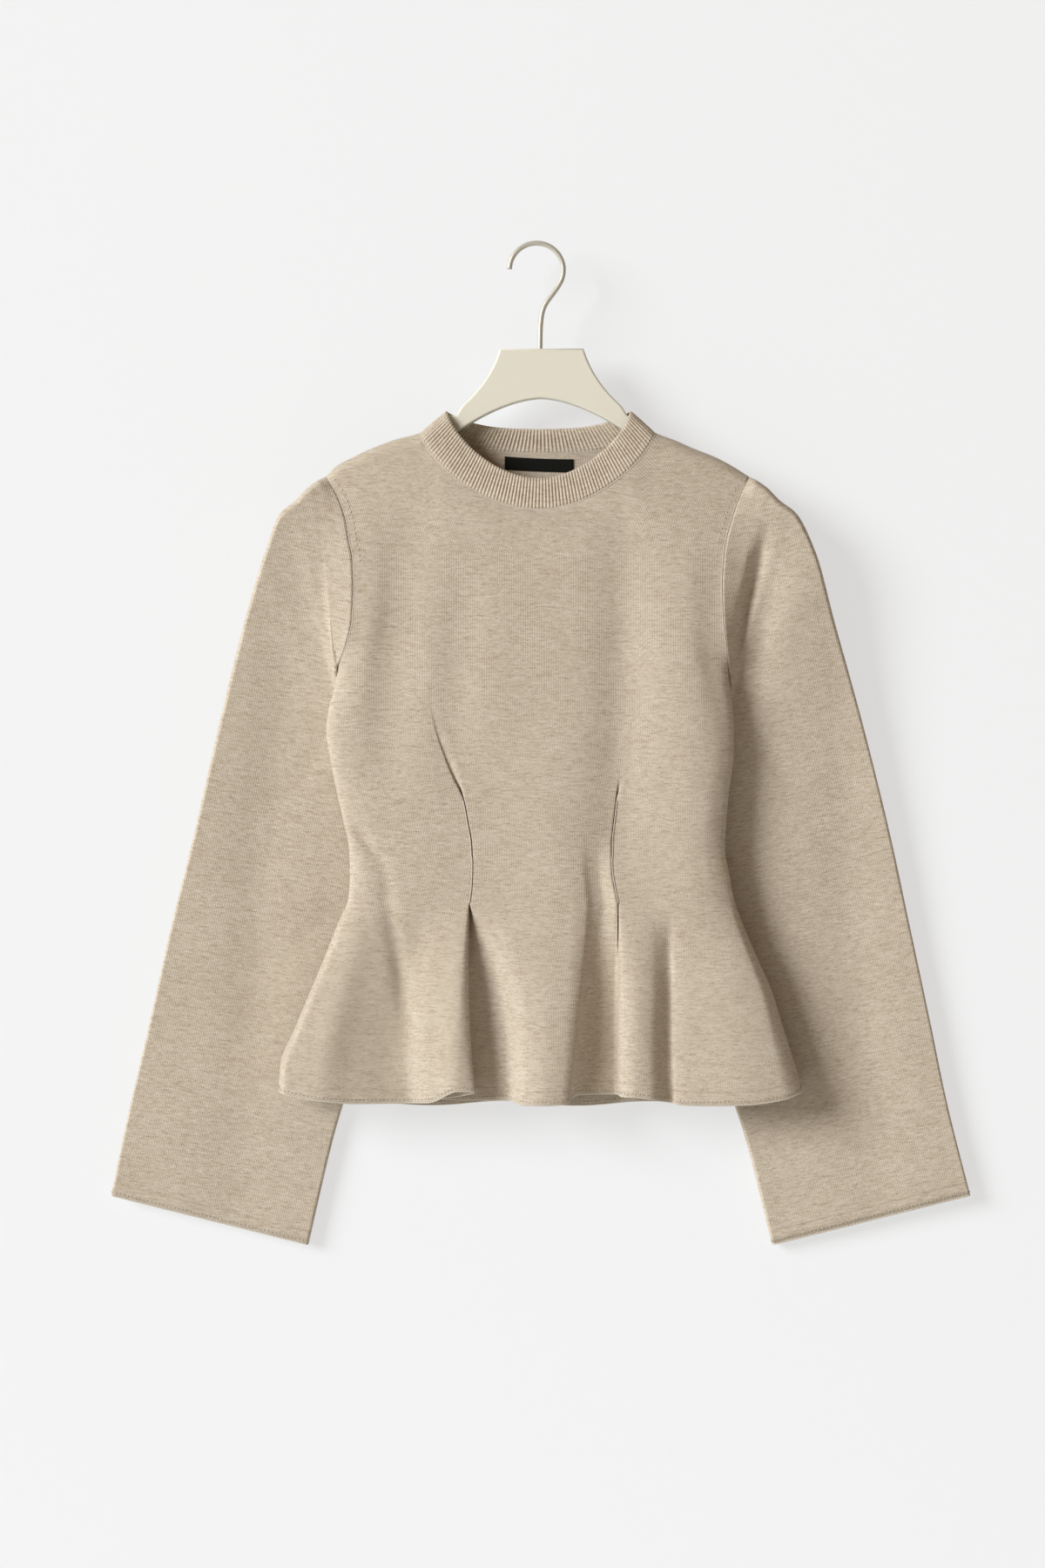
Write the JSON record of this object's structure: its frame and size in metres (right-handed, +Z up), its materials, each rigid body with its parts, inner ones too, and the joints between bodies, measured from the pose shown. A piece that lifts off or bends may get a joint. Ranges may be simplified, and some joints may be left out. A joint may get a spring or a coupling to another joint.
{
  "type": "peplum top on a hanger",
  "caption": "Long-sleeved knitted peplum top with a ribbed crew neck and two front tucks, hanging flat on a moulded hanger with a wire hook.",
  "frame": {"origin": "the point inside the top of the hanger's hook, where the hook rests on what holds it up", "axes": "+Z up, +X to the right of the front view, and the front of the top faces -Y"},
  "size_m": [0.7355, 0.067, 0.8559],
  "materials": {
    "knit": "fine-gauge melange knit, matt",
    "label": "woven black label, bare",
    "hanger": "moulded, satin gloss",
    "hook": "painted steel wire"
  },
  "bodies": {
    "root": {"front": "knit", "back": "knit", "sleeve_left": "knit", "sleeve_right": "knit", "neckband": "knit", "neck_label": "label", "hanger_body": "hanger", "hanger_hook": "hook"}
  },
  "joints": []
}
